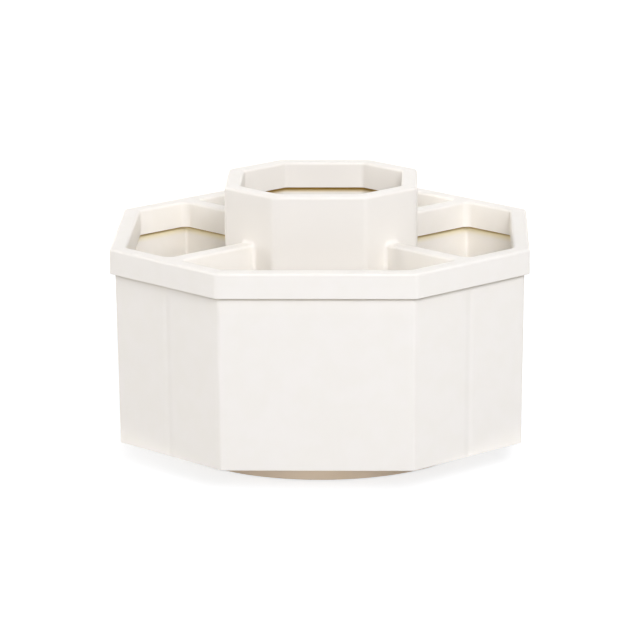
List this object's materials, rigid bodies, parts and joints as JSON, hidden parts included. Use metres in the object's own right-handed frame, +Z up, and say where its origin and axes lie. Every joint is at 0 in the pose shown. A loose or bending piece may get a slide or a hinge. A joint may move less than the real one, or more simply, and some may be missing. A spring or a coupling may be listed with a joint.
{
  "type": "rotating pen holder",
  "caption": "Octagonal rotating desk organizer: open compartments round a taller central pen tube, turning on a low round ball-bearing base.",
  "frame": {"origin": "on the desk, under the middle of the object, in the plane that the foot pads rest on", "axes": "+Z up along the turning axis; a wide face of the octagon, the one nearest the camera in the picture, looks along -Y; +X to its right"},
  "size_m": [0.16, 0.16, 0.1066],
  "materials": {
    "ivory_shell": "satin injection-moulded polystyrene, fine smooth texture",
    "ivory_base": "satin injection-moulded plastic",
    "white_acetal": "smooth machined acetal",
    "bearing_steel": "polished bearing balls",
    "zinc_steel": "bright zinc plate",
    "soft_rubber": "matt moulded rubber"
  },
  "bodies": {
    "base": {"base_disc": "ivory_base", "foot_pads": "soft_rubber", "pivot_pin": "zinc_steel", "thrust_washer": "white_acetal", "pivot_washer": "zinc_steel", "pivot_clip": "zinc_steel"},
    "carousel": {"tub": "ivory_shell", "top_frame": "ivory_shell", "turntable_plate": "ivory_base", "plate_screws": "zinc_steel", "pivot_bush": "white_acetal"},
    "bearing": {"ball_cage": "white_acetal", "bearing_balls": "bearing_steel"}
  },
  "joints": [
    {"name": "carousel_spin", "type": "hinge", "parent": "base", "child": "carousel", "pos_m": [0, 0, 0.0125], "axis": [0, 0, 1], "continuous": true},
    {"name": "bearing_spin", "type": "hinge", "parent": "base", "child": "bearing", "pos_m": [0, 0, 0.0098], "axis": [0, 0, 1], "continuous": true}
  ],
  "couplings": [
    {"joint": "bearing_spin", "follows": "carousel_spin", "ratio": 0.5}
  ]
}
